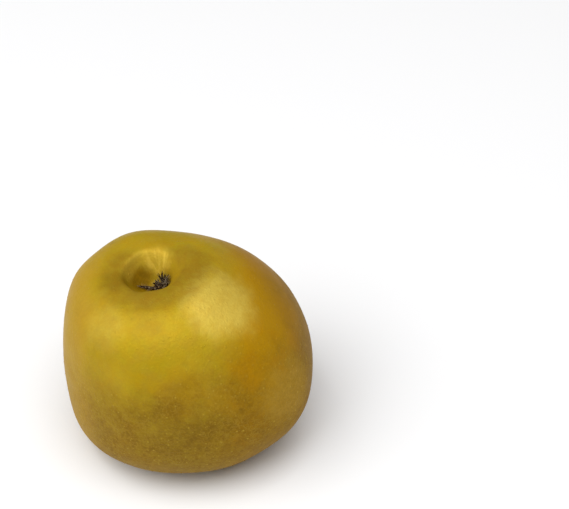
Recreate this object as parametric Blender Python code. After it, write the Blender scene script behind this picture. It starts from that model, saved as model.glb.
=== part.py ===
"""Reinette apple, standing on the shoulders round its stalk with its eye up.

Metres, +Z up. Four pieces: the fruit, the stalk in the hollow underneath, and in the
eye on top the dried sepals and the tuft of stamens between them.

The fruit starts upright as a turned profile. Five soft lobes, a slight oval, a fuller
front and a bent middle line make it uneven. Then it leans, and its base is levelled so
that three low points round the stalk touch the table. The origin is on the table, under
the middle of the fruit's box.
"""

import math
import random

import bmesh
import bpy
import numpy as np
from mathutils import Matrix, Vector, noise

# Fruit, upright: radius and height of the rings that its profile runs through
CHEEK_RADIUS = 0.0410
CHEEK_HEIGHT = 0.0219
FRUIT_HEIGHT = 0.0695
CROWN_RADIUS = 0.0112
BASE_RADIUS = 0.0180
EYE_RADIUS = 0.0018
EYE_DEPTH = 0.0100
HOLLOW_RADIUS = 0.0020
HOLLOW_DEPTH = 0.0130

# How far the profile keeps its direction on each side of a ring, which sets its roundness
HOLLOW_ROUND = 0.0060
BASE_ROUND_IN = 0.0090
BASE_ROUND_OUT = 0.0108
CHEEK_ROUND_DOWN = 0.0137
CHEEK_ROUND_UP = 0.0226
CROWN_ROUND_OUT = 0.0194
CROWN_ROUND_IN = 0.0040
EYE_ROUND = 0.0036

# Stations along the profile, one for each ring
HOLLOW, BASE, CHEEK, CROWN, EYE = range(5)
ROWS = (9, 10, 13, 12)
COLUMNS = 68

# Five lobes: direction in degrees from +X and how far each swells
LOBES = ((108, 0.0029), (38, 0.0024), (-36, 0.0028), (-108, 0.0015), (180, 0.0009))
LOBE_SHARPNESS = 6.0
LOBE_OUT = ((HOLLOW, 0.0), (0.6, 0.1), (BASE, 0.37), (CHEEK, 1.18), (CROWN, 0.67), (3.7, 0.1), (EYE, 0.0))
LOBE_UP = ((1.6, 0.0), (CROWN, 0.29), (3.8, 0.0))

# Fuller front, oval girth, tilted crown and bent middle line
FRONT_DIRECTION = -88
FRONT_SHARPNESS = 2.2
FRONT_SWELL = ((1.5, 0.0), (2.55, 0.0032), (3.2, 0.0))
OVAL = 0.0025
OVAL_DIRECTION = -4
CROWN_TILT = (-0.0042, 0.0031)
CROWN_OFFSET = (0.0035, -0.0016)
CHEEK_OFFSET = (0.0057, 0.0009)

# Eye's basin: how far its rings move towards +X and +Y, which steepens its left wall
BASIN_ACROSS = ((2.7, 0.0), (CROWN, 0.0036), (3.5, 0.0001), (EYE, 0.0010))
BASIN_ALONG = ((2.7, 0.0), (CROWN, 0.0), (3.5, 0.0003), (EYE, 0.0012))

# Local swells and dips: direction in degrees, station and how far out
SWELLS = ((158, 2.70, 0.0007), (-24, 1.80, 0.0014), (-41, 1.65, -0.0006), (-164, 1.88, -0.0009),
          (180, 2.56, -0.0015), (13, 2.15, 0.0005), (-68, 1.60, 0.0006), (-116, 1.68, -0.0005),
          (-172, 2.20, -0.0004), (112, 2.75, 0.0006), (137, 2.77, -0.0004))
SWELL_SHARPNESS = 16.0
SWELL_SPREAD = 0.30

# Folds that run out of the eye: direction in degrees and depth
FOLDS = ((68, 0.0016), (185, 0.0009), (-114, 0.0008), (-50, 0.0005), (15, 0.0007))
FOLD_SHARPNESS = 18.0
FOLD_RUN = ((2.7, 0.0), (3.42, 1.0), (3.85, 0.0))

# Slow unevenness of the skin
RIPPLE = 0.00035
RIPPLE_LENGTH = 0.014
RIPPLE_RUN = ((1.1, 0.0), (1.6, 1.0), (3.3, 1.0), (3.8, 0.0))

# Stance: lean in degrees towards -X and +Y, and three low points on the levelled base
LEAN_LEFT = 11.9
LEAN_BACK = 2.6
LEVEL_RUN = ((BASE, 1.0), (2.4, 0.0))
FEET = (95, -30, -150)
FOOT_SHARPNESS = 5.0
FOOT_DROP = 0.0014
FOOT_RUN = ((0.35, 0.0), (BASE, 1.0), (1.55, 0.0))
FLAT_DEPTH = 0.0003
FLAT_SNAP = 0.00002

# Socket that holds the stalk and tube under the eye: share of the mouth's width at each depth
SOCKET_DEPTH = 0.0018
SOCKET_WALL = ((0.95, 0.0003), (0.9, SOCKET_DEPTH), (0.45, SOCKET_DEPTH))
TUBE_DEPTH = 0.0040
TUBE_WALL = ((0.88, 0.0006), (0.86, 0.0024), (0.74, 0.0037), (0.35, TUBE_DEPTH))

# Pieces that touch keep this gap
GAP = 0.0003

# Edges sharper than this, in degrees, are shaded as edges
SHARP_EDGE = 40

# Stalk: it bends a little sideways towards its free end, and swells into a knob there
STALK_RADIUS = 0.0013
STALK_LENGTH = 0.0095
STALK_BEND = (0.0009, -0.0005)
KNOB_RADIUS = 0.0019
KNOB_END = 0.7
STALK_ROWS = 11
STALK_SIDES = 12

# Ring of dried flesh that the sepals grow from
CALYX_INNER_RADIUS = 0.0015
CALYX_OUTER_RADIUS = 0.0024
CALYX_TOP_SHARE = 0.95
CALYX_THICKNESS = 0.0008
CALYX_LIFT = 0.0003
CALYX_SIDES = 32

# Sepals: direction in degrees, then the radius and height, in the eye's frame, of the two
# handles and the tip of each centre line, then how far it sways sideways and twists
SEPALS = (
    (62, (0.0024, 0.0020), (0.0018, 0.0040), (0.0027, 0.0055), 0.0003, 0.3),
    (18, (0.0025, 0.0018), (0.0021, 0.0034), (0.0034, 0.0051), -0.0002, -0.4),
    (130, (0.0022, 0.0012), (0.0020, 0.0018), (0.0022, 0.0026), 0.0002, -0.2),
    (192, (0.0031, 0.0015), (0.0046, 0.0015), (0.0071, 0.0037), -0.0003, 0.2),
    (282, (0.0022, 0.0018), (0.0017, 0.0034), (0.0016, 0.0046), 0.0004, 0.4),
)
SEPAL_ROOT_RADIUS = 0.0019
SEPAL_WIDTH = 0.0019
SEPAL_THICKNESS = 0.0006
SEPAL_CUP = 0.0003
SEPAL_ROWS = 9
SEPAL_SECTION = (-1, -0.5, 0, 0.5, 1)
EDGE_THINNING = 0.3

# Stamens: threads with an anther at the end of each, round a thicker style, on one pad
FILAMENTS = 5
FILAMENT_RADIUS = 0.00024
FILAMENT_TURN = 0.15
FILAMENT_LEAN = (0.0000, 0.0001)
FILAMENT_REACH = (0.82, 1.0)
FILAMENT_SHARES = (0, 0.35, 0.7, 0.86, 0.93, 1.0)
FILAMENT_SIDES = 6
ANTHER_RADIUS = 0.00034
ANTHER_END = 0.8
STYLE_RADIUS = 0.00030
STYLE_SHARES = (0, 0.5, 0.9, 1)
STYLE_END = 0.7
STYLE_SIDES = 8
TUFT_RADIUS = 0.0007
TUFT_HEIGHT = 0.0043
PAD_RADIUS = 0.0010
PAD_EDGE = 0.9
PAD_THICKNESS = 0.0008
PAD_SIDES = 24
PAD_LIFT = 0.00045

# Colours, linear
RUSSET_SKIN = (0.34, 0.23, 0.012)
STALK_WOOD = (0.13, 0.075, 0.035)
DRIED_SEPAL = (0.055, 0.038, 0.022)
DRIED_STAMEN = (0.16, 0.10, 0.045)

SEED = 7


def clear_scene():
    for old in list(bpy.data.objects):
        bpy.data.objects.remove(old, do_unlink=True)


def bezier(start, pull_out, pull_in, end, amount):
    """Points of a cubic curve at the given amounts from 0 to 1."""
    amount = np.asarray(amount, float)[..., None]
    rest = 1 - amount
    return (
        rest**3 * np.array(start)
        + 3 * rest**2 * amount * np.array(pull_out)
        + 3 * rest * amount**2 * np.array(pull_in)
        + amount**3 * np.array(end)
    )


def eased(value, knots):
    """Level between knots of (place, level), with no corner at any of them."""
    level = np.full(np.shape(value), float(knots[0][1]))
    for (left, low), (right, high) in zip(knots, knots[1:]):
        part = np.clip((value - left) / (right - left), 0, 1)
        level = np.where(value >= left, low + (high - low) * part**2 * (3 - 2 * part), level)
    return level


def swell(angles, direction, sharpness):
    """A soft bump of height 1 round one direction, given in degrees."""
    return np.exp(sharpness * (np.cos(angles - math.radians(direction)) - 1))


def profile():
    """Stations from the stalk's hollow to the eye, with the radius and height at each."""
    eye_height = FRUIT_HEIGHT - EYE_DEPTH
    hollow = (HOLLOW_RADIUS, HOLLOW_DEPTH)
    base = (BASE_RADIUS, 0)
    cheek = (CHEEK_RADIUS, CHEEK_HEIGHT)
    crown = (CROWN_RADIUS, FRUIT_HEIGHT)
    eye = (EYE_RADIUS, eye_height)
    stretches = (
        (hollow, (HOLLOW_RADIUS + HOLLOW_ROUND, HOLLOW_DEPTH - HOLLOW_ROUND / 2),
         (BASE_RADIUS - BASE_ROUND_IN, 0), base),
        (base, (BASE_RADIUS + BASE_ROUND_OUT, 0),
         (CHEEK_RADIUS, CHEEK_HEIGHT - CHEEK_ROUND_DOWN), cheek),
        (cheek, (CHEEK_RADIUS, CHEEK_HEIGHT + CHEEK_ROUND_UP),
         (CROWN_RADIUS + CROWN_ROUND_OUT, FRUIT_HEIGHT), crown),
        (crown, (CROWN_RADIUS - CROWN_ROUND_IN, FRUIT_HEIGHT),
         (EYE_RADIUS + EYE_ROUND, eye_height), eye),
    )
    stations, points = [], []
    for station, (stretch, rows) in enumerate(zip(stretches, ROWS)):
        amounts = np.arange(rows) / rows
        stations.extend(station + amounts)
        points.extend(bezier(*stretch, amounts))
    return np.array(stations + [EYE]), np.array(points + [eye])


def lean():
    """Rotation from upright to the way the apple stands."""
    return (Matrix.Rotation(math.radians(-LEAN_BACK), 3, "X")
            @ Matrix.Rotation(math.radians(-LEAN_LEFT), 3, "Y"))


def shaped(stations, points):
    """The turned profile with its lobes, folds and bends, as rings of upright points."""
    angles = np.linspace(-math.pi, math.pi, COLUMNS, endpoint=False)[None, :]
    station = stations[:, None]
    turned_radius, turned_height = points[:, :1], points[:, 1:]
    lobes = sum(size * swell(angles, direction, LOBE_SHARPNESS) for direction, size in LOBES)
    lobes = lobes - lobes.mean()
    radius = turned_radius + lobes * eased(station, LOBE_OUT)
    radius = radius + swell(angles, FRONT_DIRECTION, FRONT_SHARPNESS) * eased(station, FRONT_SWELL)
    oval = OVAL * np.cos(2 * (angles - math.radians(OVAL_DIRECTION)))
    radius = radius + oval * turned_radius / CHEEK_RADIUS
    for direction, middle, size in SWELLS:
        nearness = np.exp(-((station - middle) / SWELL_SPREAD)**2)
        radius = radius + size * nearness * swell(angles, direction, SWELL_SHARPNESS)
    height = turned_height + lobes * eased(station, LOBE_UP)
    share = turned_height / FRUIT_HEIGHT
    rise = eased(share, ((0, 0), (1, 1)))
    bow = 4 * share * (1 - share)
    tilt = CROWN_TILT[0] * np.cos(angles) + CROWN_TILT[1] * np.sin(angles)
    height = height + rise * tilt * radius / CHEEK_RADIUS
    folds = sum(depth * swell(angles, direction, FOLD_SHARPNESS) for direction, depth in FOLDS)
    height = height - folds * eased(station, FOLD_RUN)
    across = radius * np.cos(angles) + rise * CROWN_OFFSET[0] + bow * CHEEK_OFFSET[0]
    along = radius * np.sin(angles) + rise * CROWN_OFFSET[1] + bow * CHEEK_OFFSET[1]
    across = across + eased(station, BASIN_ACROSS)
    along = along + eased(station, BASIN_ALONG)
    up = lean().transposed() @ Vector((0, 0, 1))
    slope = (up.x * across + up.y * along) / up.z
    feet = sum(swell(angles, direction, FOOT_SHARPNESS) for direction in FEET)
    height = height - slope * eased(station, LEVEL_RUN) - FOOT_DROP * feet * eased(station, FOOT_RUN)
    return np.stack((across, along, height), axis=-1)


def rippled(rings, stations):
    """The same rings with slow unevenness, moved out from the fruit's middle."""
    middle = Vector((0, 0, FRUIT_HEIGHT / 2))
    amounts = RIPPLE * eased(stations, RIPPLE_RUN)
    for ring, amount in zip(rings, amounts):
        for point in ring:
            outward = (Vector(point) - middle).normalized()
            point += amount * noise.noise(Vector(point) / RIPPLE_LENGTH) * np.array(outward)
    return rings


def standing(rings):
    """The rings leaned, centred over the origin and set down on the table."""
    rings = rings @ np.array(lean()).T
    low, high = rings.min(axis=(0, 1)), rings.max(axis=(0, 1))
    middle = (low + high) / 2
    return rings - np.array((middle[0], middle[1], low[2] + FLAT_DEPTH))


def ring_frame(ring, outward):
    """Placement at the middle of a ring of points, with Z out of the fruit."""
    centre = Vector(ring.mean(axis=0))
    quarter = COLUMNS // 4
    normal = Vector(np.cross(ring[quarter] - ring[-quarter], ring[0] - ring[2 * quarter])).normalized()
    if normal.dot(outward) < 0:
        normal.negate()
    side = Vector((1, 0, 0))
    side = (side - side.dot(normal) * normal).normalized()
    frame = Matrix((side, normal.cross(side), normal)).transposed().to_4x4()
    frame.translation = centre
    return frame


def sunk(mouth, frame, wall):
    """Rings of a pit below a mouth ring, from shares of its width and depths."""
    centre, outward = np.array(frame.translation), np.array(frame.col[2].to_3d())
    return [centre + (mouth - centre) * share - outward * depth for share, depth in wall]


def loft(name, rings):
    """One closed body through rings of points, with a face across each end."""
    form = bmesh.new()
    rows = [[form.verts.new(point) for point in ring] for ring in rings]
    for row, following in zip(rows, rows[1:]):
        for here in range(len(row)):
            beside = (here + 1) % len(row)
            form.faces.new((row[here], row[beside], following[beside], following[here]))
    form.faces.new(rows[0])
    form.faces.new(rows[-1])
    bmesh.ops.recalc_face_normals(form, faces=form.faces)
    return object_from(name, form)


def object_from(name, form):
    mesh = bpy.data.meshes.new(name)
    form.to_mesh(mesh)
    form.free()
    mesh.shade_smooth()
    mesh.set_sharp_from_angle(angle=math.radians(SHARP_EDGE))
    made = bpy.data.objects.new(name, mesh)
    bpy.context.scene.collection.objects.link(made)
    return made


def circle(radius, height, sides, centre=(0, 0)):
    turns = (2 * math.pi * side / sides for side in range(sides))
    return [Vector((centre[0] + radius * math.cos(turn), centre[1] + radius * math.sin(turn), height))
            for turn in turns]


def tube_along(name, path, radii, sides):
    """A round rod along a path of points, with its own radius at each."""
    rings = []
    for here, (point, radius) in enumerate(zip(path, radii)):
        ahead = path[min(here + 1, len(path) - 1)] - path[max(here - 1, 0)]
        turn = Vector((0, 0, 1)).rotation_difference(ahead)
        rings.append([point + turn @ corner for corner in circle(radius, 0, sides)])
    return loft(name, rings)


def cut_flats(fruit):
    """Cuts the three low points off at the table, which leaves the flats it rests on."""
    form = bmesh.new()
    form.from_mesh(fruit.data)
    whole = form.verts[:] + form.edges[:] + form.faces[:]
    bmesh.ops.bisect_plane(form, geom=whole, dist=FLAT_SNAP, use_snap_center=True,
                           plane_co=(0, 0, 0), plane_no=(0, 0, -1), clear_outer=True)
    rims = [edge for edge in form.edges if edge.is_boundary]
    bmesh.ops.edgeloop_fill(form, edges=rims)
    bmesh.ops.recalc_face_normals(form, faces=form.faces)
    form.to_mesh(fruit.data)
    form.free()


def fused(name, pieces):
    """Joins pieces that overlap into one body and removes the loose ones."""
    first, others = pieces[0], pieces[1:]
    group = bpy.data.collections.new(name + "_pieces")
    bpy.context.scene.collection.children.link(group)
    for piece in others:
        bpy.context.scene.collection.objects.unlink(piece)
        group.objects.link(piece)
    join = first.modifiers.new("join", "BOOLEAN")
    join.operation = "UNION"
    join.operand_type = "COLLECTION"
    join.collection = group
    join.solver = "EXACT"
    evaluated = first.evaluated_get(bpy.context.evaluated_depsgraph_get())
    mesh = bpy.data.meshes.new_from_object(evaluated)
    for piece in pieces:
        bpy.data.objects.remove(piece, do_unlink=True)
    bpy.data.collections.remove(group)
    mesh.name = name
    whole = bpy.data.objects.new(name, mesh)
    bpy.context.scene.collection.objects.link(whole)
    return whole


def material(name, colour, roughness):
    made = bpy.data.materials.new(name)
    made.use_nodes = True
    shader = made.node_tree.nodes["Principled BSDF"]
    shader.inputs["Base Color"].default_value = (*colour, 1)
    shader.inputs["Roughness"].default_value = roughness
    shader.inputs["Metallic"].default_value = 0
    return made


def make_fruit():
    """The fruit, with the frames of its stalk's socket and of its eye."""
    stations, points = profile()
    skin = standing(rippled(shaped(stations, points), stations))
    hollow_frame = ring_frame(skin[0], Vector((0, 0, -1)))
    eye_frame = ring_frame(skin[-1], Vector((0, 0, 1)))
    socket = sunk(skin[0], hollow_frame, SOCKET_WALL)
    tube = sunk(skin[-1], eye_frame, TUBE_WALL)
    fruit = loft("fruit", socket[::-1] + list(skin) + tube)
    cut_flats(fruit)
    fruit.data.materials.append(material("russet_skin", RUSSET_SKIN, 0.5))
    return hollow_frame, eye_frame


def make_stalk(frame):
    """Short woody stalk: a root in the socket, a slight bend and a knob at its free end."""
    heights = np.linspace(GAP - SOCKET_DEPTH, STALK_LENGTH, STALK_ROWS)
    path = []
    radii = []
    for height in heights:
        share = max(height, 0) / STALK_LENGTH
        path.append(Vector((STALK_BEND[0] * share**2, STALK_BEND[1] * share, height)))
        radii.append(STALK_RADIUS + (KNOB_RADIUS - STALK_RADIUS) * share**4)
    radii[-1] *= KNOB_END
    stalk = tube_along("stalk", path, radii, STALK_SIDES)
    stalk.matrix_world = frame
    stalk.data.materials.append(material("stalk_wood", STALK_WOOD, 0.8))


def sepal(direction, pull_out, pull_in, tip, sway, twist):
    """One dried sepal: a cupped, tapering blade that rises from the ring and curls."""
    angle = math.radians(direction)
    root = (SEPAL_ROOT_RADIUS, GAP + CALYX_LIFT + CALYX_THICKNESS / 2)
    amounts = np.linspace(0, 1, SEPAL_ROWS)
    outward = Vector((math.cos(angle), math.sin(angle), 0))
    sideways = Vector((-math.sin(angle), math.cos(angle), 0))
    places = [outward * radius + Vector((0, 0, height)) + sideways * sway * amount**2
              for (radius, height), amount in zip(bezier(root, pull_out, pull_in, tip, amounts), amounts)]
    rings = []
    for here, amount in enumerate(amounts):
        along = (places[min(here + 1, SEPAL_ROWS - 1)] - places[max(here - 1, 0)]).normalized()
        across = Matrix.Rotation(twist * amount, 3, along) @ sideways
        face = across.cross(along).normalized()
        half_width = max(SEPAL_WIDTH / 2 * (1 - amount**1.5), SEPAL_THICKNESS / 2)
        rings.append(blade_section(places[here], across, face, half_width, SEPAL_CUP * (1 - amount)))
    return loft("sepal", rings)


def blade_section(place, across, face, half_width, cup):
    """Section of a thin blade: an arched strip with blunt edges."""
    top, under = [], []
    for share in SEPAL_SECTION:
        middle = place + across * half_width * share + face * cup * (1 - share**2)
        half_thick = SEPAL_THICKNESS / 2 * (1 - EDGE_THINNING * abs(share))
        top.append(middle + face * half_thick)
        under.append(middle - face * half_thick)
    return top + under[::-1]


def calyx_ring():
    """Ring of dried flesh round the tube, which the sepals grow from."""
    low = GAP + CALYX_LIFT
    high = low + CALYX_THICKNESS
    corners = ((CALYX_INNER_RADIUS, low), (CALYX_OUTER_RADIUS, low),
               (CALYX_OUTER_RADIUS * CALYX_TOP_SHARE, high), (CALYX_INNER_RADIUS, high))
    form = bmesh.new()
    rows = [[form.verts.new(point) for point in circle(radius, height, CALYX_SIDES)]
            for radius, height in corners]
    for row, following in zip(rows, rows[1:] + rows[:1]):
        for here in range(CALYX_SIDES):
            beside = (here + 1) % CALYX_SIDES
            form.faces.new((row[here], row[beside], following[beside], following[here]))
    bmesh.ops.recalc_face_normals(form, faces=form.faces)
    return object_from("calyx_ring", form)


def make_sepals(frame):
    sepals = fused("sepals", [calyx_ring()] + [sepal(*line) for line in SEPALS])
    sepals.matrix_world = frame
    sepals.data.materials.append(material("dried_sepal", DRIED_SEPAL, 0.85))


def filament(number, draw):
    """One dried stamen: a thin thread that leans out a little and ends in its anther."""
    angle = 2 * math.pi * number / FILAMENTS + draw.uniform(-FILAMENT_TURN, FILAMENT_TURN)
    lean_out = draw.uniform(*FILAMENT_LEAN)
    top = TUFT_HEIGHT * draw.uniform(*FILAMENT_REACH)
    outward = Vector((math.cos(angle), math.sin(angle), 0))
    foot = Vector((0, 0, PAD_THICKNESS / 2))
    path = [foot + outward * (TUFT_RADIUS + lean_out * share**2) + Vector((0, 0, top * share))
            for share in FILAMENT_SHARES]
    radii = [FILAMENT_RADIUS] * (len(path) - 2) + [ANTHER_RADIUS, FILAMENT_RADIUS * ANTHER_END]
    return tube_along("filament", path, radii, FILAMENT_SIDES)


def make_stamens(frame):
    draw = random.Random(SEED)
    pad = loft("pad", [circle(PAD_RADIUS * PAD_EDGE, 0, PAD_SIDES),
                       circle(PAD_RADIUS, PAD_THICKNESS / 2, PAD_SIDES),
                       circle(PAD_RADIUS * PAD_EDGE, PAD_THICKNESS, PAD_SIDES)])
    style_path = [Vector((0, 0, PAD_THICKNESS / 2 + TUFT_HEIGHT * share)) for share in STYLE_SHARES]
    style_radii = [STYLE_RADIUS] * (len(style_path) - 1) + [STYLE_RADIUS * STYLE_END]
    style = tube_along("style", style_path, style_radii, STYLE_SIDES)
    stamens = fused("stamens", [pad, style] + [filament(number, draw) for number in range(FILAMENTS)])
    stamens.matrix_world = frame @ Matrix.Translation((0, 0, PAD_LIFT - TUBE_DEPTH))
    stamens.data.materials.append(material("dried_stamen", DRIED_STAMEN, 0.8))


def main():
    clear_scene()
    hollow_frame, eye_frame = make_fruit()
    make_stalk(hollow_frame)
    make_sepals(eye_frame)
    make_stamens(eye_frame)


main()
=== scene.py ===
"""Looks of a reinette apple: russet skin with its lenticels, the dried eye and the stalk.

Metres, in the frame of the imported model: +Z up, -Y towards the viewer.
"""

import math
import random

import bmesh
import bpy
from mathutils import Matrix, Vector, noise


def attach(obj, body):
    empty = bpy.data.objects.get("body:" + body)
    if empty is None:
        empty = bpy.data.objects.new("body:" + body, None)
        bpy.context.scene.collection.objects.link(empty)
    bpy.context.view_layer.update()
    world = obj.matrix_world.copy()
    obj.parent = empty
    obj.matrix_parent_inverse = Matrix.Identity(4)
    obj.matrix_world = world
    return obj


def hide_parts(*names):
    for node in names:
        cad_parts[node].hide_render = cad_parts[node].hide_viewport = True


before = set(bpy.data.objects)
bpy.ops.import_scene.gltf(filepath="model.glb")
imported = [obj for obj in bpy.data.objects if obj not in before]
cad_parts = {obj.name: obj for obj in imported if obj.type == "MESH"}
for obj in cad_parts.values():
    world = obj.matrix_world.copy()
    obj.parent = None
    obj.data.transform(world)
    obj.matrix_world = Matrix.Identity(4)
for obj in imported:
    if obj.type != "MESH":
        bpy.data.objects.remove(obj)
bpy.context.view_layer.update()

BODY = "root"
MERGE = 0.000002

# Camera where the photograph was taken from
CAMERA_PLACE = (0.03294, -0.27874, 0.32804)
CAMERA_ELEVATION = 42
SENSOR_WIDTH = 36
LENS = 75.04
CLIP_START = 0.01
CLIP_END = 20

# Studio: the pale floor, what the lights aim at, and how bright the air is as light and as seen
FLOOR_RADIUS = 3.0
FLOOR_SIDES = 96
FLOOR_DROP = 0.00005
LIGHT_AIM = Vector((0, 0, 0.03))
AIR_LIGHT = 0.22
AIR_SEEN = 0.90

# Square lights: name, azimuth and elevation in degrees, distance, width and power
LIGHTS = (
    ("overhead", -52, 74, 2.2, 1.6, 28.5),
    ("high_left", -150, 56, 2.2, 1.9, 36.0),
)

# Eye and stalk hollow: the middle of each mouth and the direction out of the fruit
EYE = Vector((-0.00740, 0.00153, 0.06069))
EYE_OUT = Vector((-0.1108, -0.0258, 0.9935))
HOLLOW = Vector((-0.00091, -0.00033, 0.01378))
HOLLOW_OUT = Vector((-0.0090, 0.0067, -0.9999))
CORE = (EYE - HOLLOW).normalized()

# Skin mesh: the angles up to which triangles are joined, in degrees, and its subdivision
JOINED_ANGLE = 40
JOINED_SHAPE = 60
SKIN_LEVELS = 2

# Relief of the skin: slow swellings, and puckers that run into the eye
SWELLING = 0.00010
SWELLING_SIZE = 0.006
PUCKER = 0.00013
PUCKERS_ROUND = 7.0
PUCKER_REACH = 0.013

# Where that relief comes in: distances from the eye and heights above the table
MOUTH_EDGE = 0.0022
KEEP_CLEAR = 0.0032
TABLE_CLEAR = (0.0004, 0.0025)

# Rim of the basin: how many passes ease it, and the ring round the eye that they reach
RIM_EASING = 64
RIM_INSIDE = (0.0065, 0.0100)
RIM_OUTSIDE = (0.0220, 0.0170)

# Lenticels: corky dots that stand a little proud
LENTICEL_RADIUS = 0.00024
LENTICEL_FLATNESS = 0.35
LENTICEL_SIZES = (0.55, 1.25)
LENTICEL_SEGMENTS = 8
LENTICEL_RINGS = 5

# How the lenticels are strewn: fewer above than below, none in the eye nor where the fruit rests
LENTICEL_SPACING = 0.0031
LENTICEL_DENSITY = 90000
LENTICEL_SHARE = (0.35, 1.0)
LENTICEL_HEIGHTS = (0.055, 0.025)
LENTICEL_EYE_CLEAR = (0.008, 0.013)
LENTICEL_TABLE_CLEAR = (0.0012, 0.0020)

# Sepals, as the part gives them: direction in degrees, then the radius and height of the two
# handles and the tip of each centre line, then how far it sways and twists
SEPALS = (
    (62, (0.0024, 0.0020), (0.0018, 0.0040), (0.0027, 0.0055), 0.0003, 0.3),
    (18, (0.0025, 0.0018), (0.0021, 0.0034), (0.0034, 0.0051), -0.0002, -0.4),
    (130, (0.0022, 0.0012), (0.0020, 0.0018), (0.0022, 0.0026), 0.0002, -0.2),
    (192, (0.0031, 0.0015), (0.0046, 0.0015), (0.0071, 0.0037), -0.0003, 0.2),
    (282, (0.0022, 0.0018), (0.0017, 0.0034), (0.0016, 0.0046), 0.0004, 0.4),
)
SEPAL_SPREADS = (1.0, 0.9, 0.8, 0.45, 0.9)
SEPAL_SEED = 18
SEPAL_THICKNESS = 0.00020
SEPAL_LENGTHWISE = 26
SEPAL_ACROSS = 9

# Slivers that each sepal is split into: sideways start, share of its length, width and splay
SLIVERS = (
    (0.0, 1.0, 0.00110, 0.0),
    (-0.9, 0.90, 0.00050, -0.0009),
    (0.9, 0.80, 0.00050, 0.0009),
    (0.35, 0.62, 0.00034, 0.0015),
    (-0.4, 0.70, 0.00034, -0.0015),
)
SLIVER_START = 0.0009
SLIVER_CLOSING = 0.5
SLIVER_TAPER = 2.6
SLIVER_TIP = 0.00005
HEADING_STEP = 0.02

# What differs from one sliver to the next, drawn at random: its noise, twist, splay and wave
NOISE_RANGE = 50
SLIVER_TWIST = 0.9
SLIVER_SPLAY = 0.0003
SLIVER_WAVE = (0.0001, 0.0004)
SLIVER_WAVES = 6

# How withered a sliver is: uneven width and cup, each with its waves along the sliver, crinkles
# and ragged edges with their waves along and across, and how much its edges and tip thin out
UNEVEN = (0.55, 9)
CUP = (0.5, 4)
CRINKLES = (0.00014, 9, 2.2)
RAGGED = (0.00010, 26, 9)
EDGE_THINNING = 0.6
TIP_THINNING = 0.4

# Torn ring of dried flesh that the sepals grow from, its lumps by their share and number round
RING_RADIUS = 0.0020
RING_HEIGHT = 0.0009
RING_AROUND = 72
RING_SECTION = 12
RING_WIDTH = 0.00038
RING_TALL = 0.00055
RING_LIFT = 0.00035
RING_INWARD = 0.0001
RING_LUMPS_WIDE = (0.45, 3)
RING_LUMPS_TALL = (0.55, 4)

# Down on the sepals, which leans by up to so many radians
DOWN_LENGTH = 0.00150
DOWN_RADIUS = 0.000022
DOWN_DENSITY = 3400000
DOWN_LEAN = 0.7
DOWN_SIZES = (0.4, 1.1)

# About half a turn in radians, for what is turned at random
HALF_TURN = 3.1

# Stamens in the tube under the eye, each with its anther
FILAMENTS = 9
FILAMENT_RADIUS = 0.00012
FILAMENT_LENGTH = 0.0044
FILAMENT_POINTS = 14
FILAMENT_SIDES = 6
ANTHER_RADIUS = 0.00026
ANTHER_SHAPE = (1.0, 0.7, 1.5)
ANTHER_SEGMENTS = 8
ANTHER_RINGS = 6
STAMEN_LEAN = 0.06
STAMEN_SIZES = (0.72, 1.0)
STAMEN_BEND = 0.16
STAMEN_BENDS = 420.0

# The pad that the stamens stand on, and the style between them
TUFT_RADIUS = 0.0008
TUFT_FLOOR = -0.0035
PAD_RADIUS = 0.0012
PAD_HEIGHT = 0.0005
PAD_SEGMENTS = 20
PAD_RINGS = 10
STYLE_RADIUS = 0.00024
STYLE_TAPER = 0.7
STYLE_SIDES = 8
STYLE_ROWS = 6

# Stalk, with the knob and the scar at its end
STALK_RADIUS = 0.0013
STALK_KNOB = 0.0019
STALK_LENGTH = 0.0095
STALK_ROOT = -0.0015
STALK_BEND = (0.0009, -0.0005)
STALK_SIDES = 48
STALK_ROWS = 70
STALK_SHOULDER = 0.93
STALK_ROUNDING = 0.075
STALK_SCAR = 0.05

# Bark: its share of the radius, and the depth, number round and number along of its lumps
BARK_SHARE = 0.95
RIDGES = (0.10, 3, 160)
WARTS = (0.035, 5, 900)

# Seeds of what is strewn and of what is drawn for each copy
LENTICEL_SEED = 4
LENTICEL_SIZE_SEED = 9
DOWN_SEED = 3
DOWN_LEAN_SEED = 5
DOWN_SIZE_SEED = 6
STAMEN_LEAN_SEED = 2
STAMEN_SIZE_SEED = 8

# Where the skin is tinted: the middle of each patch and how far it reaches, and the share of
# that reach where it is full
# Painted highlight on the right shoulder
RIGHT_PAINTED_HIGHLIGHT = ((0.0125, -0.0125, 0.0685), 0.0165)
# Painted shade on the floor of the eye basin
BASIN_PAINTED_SHADE = ((-0.0142, 0.0030, 0.0628), 0.0068)
# Painted light on the far wall of the eye basin
FAR_WALL_PAINTED_LIGHT = ((-0.0085, 0.0078, 0.0672), 0.0066)
# Painted shade on the left lip of the eye basin
LEFT_LIP_PAINTED_SHADE = ((-0.0212, -0.0028, 0.0680), 0.0066)
RIGHT_HEEL = ((0.0345, -0.0235, 0.0390), 0.0150)
# Painted highlight on the left shoulder
LEFT_PAINTED_HIGHLIGHT = ((-0.0240, -0.0195, 0.0642), 0.0100)
# Painted shade on the lower front, over the russet
LOW_FRONT_PAINTED_SHADE = ((-0.0020, -0.0385, 0.0405), 0.0220)
PATCH_FULL = 0.35

# Bands of the skin, from where each starts to where it is full: along the core, along X, along
# the direction to the far right, and away from the hollow
LOW_BAND = (0.061, 0.029)
RIGHT_BAND = (0.009, 0.022)
LEFT_BAND = (-0.026, -0.037)
# The band along the far right carries painted shade on that edge
FAR_RIGHT = (0.8, 0.6, 0)
FAR_RIGHT_BAND = (0.016, 0.027)
CAVITY_BAND = (0.020, 0.011)

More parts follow.
